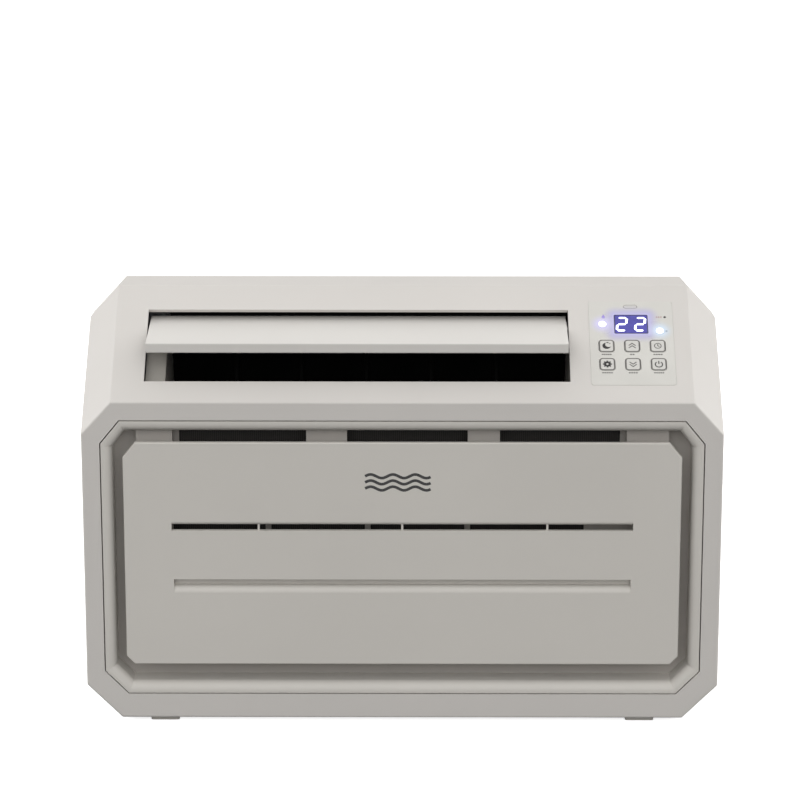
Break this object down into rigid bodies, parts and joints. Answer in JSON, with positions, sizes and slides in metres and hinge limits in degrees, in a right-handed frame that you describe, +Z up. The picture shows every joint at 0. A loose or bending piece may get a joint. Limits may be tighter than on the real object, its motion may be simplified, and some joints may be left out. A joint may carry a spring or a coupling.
{
  "type": "window air conditioner",
  "caption": "Window air conditioner with a sloping outlet flap, control film, hinged intake grille, steel sleeve, compressor and both fans inside.",
  "frame": {"origin": "centre of the bounding box at the bottom of the feet", "axes": "+X to the right seen from the front, +Y to the back, +Z up"},
  "size_m": [0.44, 0.34, 0.2911],
  "materials": {
    "housing_white": "warm white moulded plastic, fine satin texture",
    "grille_grey": "warm white moulded plastic",
    "plate_grey": "warm white plastic, satin",
    "filter_net": "fine grey net in a plastic frame",
    "flap_white": "warm white plastic",
    "dark_plastic": "black duct plastic",
    "duct_grey": "dark grey foam plastic",
    "cheek_white": "white plastic",
    "motor_steel": "plated motor case",
    "rubber_black": "black rubber",
    "fin_aluminium": "thin bare aluminium",
    "tube_copper": "copper tube",
    "film_grey": "printed control film",
    "window_dark": "tinted display window",
    "lens_white": "clear lens",
    "board_green": "circuit board",
    "part_black": "black component plastic",
    "key_white": "key caps",
    "screw_steel": "plated screws",
    "box_steel": "galvanised sheet",
    "cover_paint": "powder coated sheet steel",
    "compressor_black": "black enamelled steel",
    "capacitor_grey": "drawn can",
    "transformer_iron": "laminated iron",
    "fan_plastic": "black fan plastic"
  },
  "bodies": {
    "cabinet": {"front_housing": "housing_white", "flap_motor": "motor_steel", "vane_rails": "dark_plastic", "air_duct": "duct_grey", "duct_cheeks": "cheek_white", "blower_bearing": "rubber_black", "blower_motor": "motor_steel", "evaporator_fins": "fin_aluminium", "evaporator_tubes": "tube_copper", "drip_tray": "duct_grey", "partition": "duct_grey", "control_film": "film_grey", "display_window": "window_dark", "status_lenses": "lens_white", "key_switches": "part_black", "display_board": "board_green", "display_module": "part_black", "board_screws": "screw_steel", "control_box": "box_steel", "control_box_lid": "box_steel", "main_board": "board_green", "run_capacitor": "capacitor_grey", "transformer": "transformer_iron", "bulkhead": "box_steel", "base_pan": "box_steel", "sleeve_cover": "cover_paint", "rear_grille": "cover_paint", "fan_shroud": "duct_grey", "condenser_fins": "fin_aluminium", "condenser_tubes": "tube_copper", "fan_motor": "motor_steel", "fan_bracket": "box_steel", "compressor": "compressor_black", "compressor_mounts": "rubber_black", "terminal_cover": "part_black", "accumulator": "compressor_black", "refrigerant_pipes": "tube_copper", "drain_spigot": "part_black", "cord_gland": "part_black", "foot_pads": "cheek_white", "sleeve_screws": "screw_steel"},
    "grille": {"grille_ring": "grille_grey", "grille_tray": "grille_grey", "grille_plate": "plate_grey", "air_filter": "filter_net"},
    "flap": {"outlet_flap": "flap_white"},
    "louvre_1": {"vane_1": "dark_plastic"},
    "louvre_2": {"vane_2": "dark_plastic"},
    "louvre_3": {"vane_3": "dark_plastic"},
    "louvre_4": {"vane_4": "dark_plastic"},
    "louvre_5": {"vane_5": "dark_plastic"},
    "louvre_link": {"vane_link": "dark_plastic"},
    "blower": {"blower_wheel": "fan_plastic"},
    "fan": {"condenser_fan": "fan_plastic"},
    "push_mode": {"key_mode": "key_white"},
    "push_down": {"key_down": "key_white"},
    "push_power": {"key_power": "key_white"},
    "push_sleep": {"key_sleep": "key_white"},
    "push_up": {"key_up": "key_white"},
    "push_timer": {"key_timer": "key_white"}
  },
  "joints": [
    {"name": "grille_hinge", "type": "hinge", "parent": "cabinet", "child": "grille", "pos_m": [0, -0.167, 0.0343], "axis": [1, 0, 0], "range_deg": [0, 20]},
    {"name": "flap_tilt", "type": "hinge", "parent": "cabinet", "child": "flap", "pos_m": [0, -0.10331, 0.25346], "axis": [1, 0, 0], "range_deg": [-15, 29.5]},
    {"name": "louvre_link_slide", "type": "slide", "parent": "cabinet", "child": "louvre_link", "axis": [1, 0, 0], "range_m": [-0.0034, 0.0034]},
    {"name": "louvre_1_turn", "type": "hinge", "parent": "cabinet", "child": "louvre_1", "pos_m": [-0.115, -0.106, 0.238], "axis": [0, 0.7997, 0.6004], "range_deg": [-25, 25]},
    {"name": "louvre_2_turn", "type": "hinge", "parent": "cabinet", "child": "louvre_2", "pos_m": [-0.07, -0.106, 0.238], "axis": [0, 0.7997, 0.6004], "range_deg": [-25, 25]},
    {"name": "louvre_3_turn", "type": "hinge", "parent": "cabinet", "child": "louvre_3", "pos_m": [-0.025, -0.106, 0.238], "axis": [0, 0.7997, 0.6004], "range_deg": [-25, 25]},
    {"name": "louvre_4_turn", "type": "hinge", "parent": "cabinet", "child": "louvre_4", "pos_m": [0.02, -0.106, 0.238], "axis": [0, 0.7997, 0.6004], "range_deg": [-25, 25]},
    {"name": "louvre_5_turn", "type": "hinge", "parent": "cabinet", "child": "louvre_5", "pos_m": [0.065, -0.106, 0.238], "axis": [0, 0.7997, 0.6004], "range_deg": [-25, 25]},
    {"name": "blower_spin", "type": "hinge", "parent": "cabinet", "child": "blower", "pos_m": [0, -0.086, 0.188], "axis": [1, 0, 0], "continuous": true},
    {"name": "fan_spin", "type": "hinge", "parent": "cabinet", "child": "fan", "pos_m": [-0.055, 0.11, 0.119], "axis": [0, 1, 0], "continuous": true},
    {"name": "key_mode_press", "type": "slide", "parent": "cabinet", "child": "push_mode", "axis": [0, 0.5329, -0.8462], "range_m": [0, 0.0006], "stiffness_N_per_m": 400},
    {"name": "key_down_press", "type": "slide", "parent": "cabinet", "child": "push_down", "axis": [0, 0.5329, -0.8462], "range_m": [0, 0.0006], "stiffness_N_per_m": 400},
    {"name": "key_power_press", "type": "slide", "parent": "cabinet", "child": "push_power", "axis": [0, 0.5329, -0.8462], "range_m": [0, 0.0006], "stiffness_N_per_m": 400},
    {"name": "key_sleep_press", "type": "slide", "parent": "cabinet", "child": "push_sleep", "axis": [0, 0.5329, -0.8462], "range_m": [0, 0.0006], "stiffness_N_per_m": 400},
    {"name": "key_up_press", "type": "slide", "parent": "cabinet", "child": "push_up", "axis": [0, 0.5329, -0.8462], "range_m": [0, 0.0006], "stiffness_N_per_m": 400},
    {"name": "key_timer_press", "type": "slide", "parent": "cabinet", "child": "push_timer", "axis": [0, 0.5329, -0.8462], "range_m": [0, 0.0006], "stiffness_N_per_m": 400}
  ],
  "couplings": [
    {"joint": "louvre_1_turn", "follows": "louvre_link_slide", "rad_per_m": 125},
    {"joint": "louvre_2_turn", "follows": "louvre_link_slide", "rad_per_m": 125},
    {"joint": "louvre_3_turn", "follows": "louvre_link_slide", "rad_per_m": 125},
    {"joint": "louvre_4_turn", "follows": "louvre_link_slide", "rad_per_m": 125},
    {"joint": "louvre_5_turn", "follows": "louvre_link_slide", "rad_per_m": 125}
  ]
}
